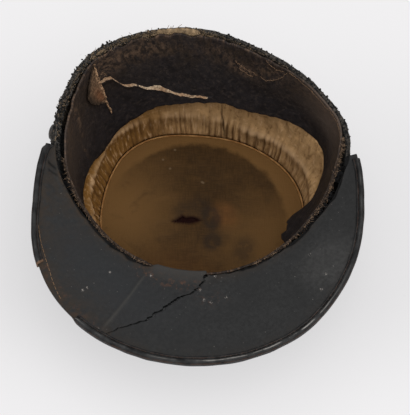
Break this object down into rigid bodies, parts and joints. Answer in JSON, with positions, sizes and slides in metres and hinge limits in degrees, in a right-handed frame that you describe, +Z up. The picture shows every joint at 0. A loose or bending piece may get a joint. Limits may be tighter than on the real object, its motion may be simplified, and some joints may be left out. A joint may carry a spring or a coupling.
{
  "type": "kepi cap",
  "caption": "Military-style kepi lying upside down on its flat crown: wool sides, leather peak and sweatband, gathered cotton lining, worn and torn",
  "frame": {"origin": "centre of the crown's flat outer face, which lies on the surface, with the cap upside down", "axes": "+Z up out of the open end, -Y towards the middle of the peak, +X to the right seen from the peak"},
  "size_m": [0.204, 0.2226, 0.1073],
  "materials": {
    "wool": "black felted wool broadcloth, fuzzy and worn at the rim",
    "canvas": "tan linen canvas with a frayed edge",
    "sweat_leather": "dark brown-black sheepskin, greasy, cracked and scuffed",
    "flesh_leather": "matt tan flesh side of torn leather",
    "cotton": "gold-brown polished cotton, gathered and soiled",
    "cotton_cord": "cotton covered cord",
    "glazed_cotton": "olive-brown glazed cotton with dark stains",
    "peak_leather": "black waxed leather, satin",
    "peak_underside": "dark grey-green leather, satin, scuffed and cracked",
    "binding_leather": "black leather strip with a worn, shiny edge",
    "button": "black horn, dull polish"
  },
  "bodies": {
    "root": {"crown": "wool", "side_wall": "wool", "base_band": "wool", "canvas_stiffener": "canvas", "sweatband": "sweat_leather", "torn_flap": "flesh_leather", "side_lining": "cotton", "lining_seam": "cotton_cord", "crown_lining": "glazed_cotton", "peak": "peak_leather", "peak_lining_left": "peak_underside", "peak_lining_right": "peak_underside", "binding_left": "binding_leather", "binding_front": "binding_leather", "side_button": "button"}
  },
  "joints": []
}
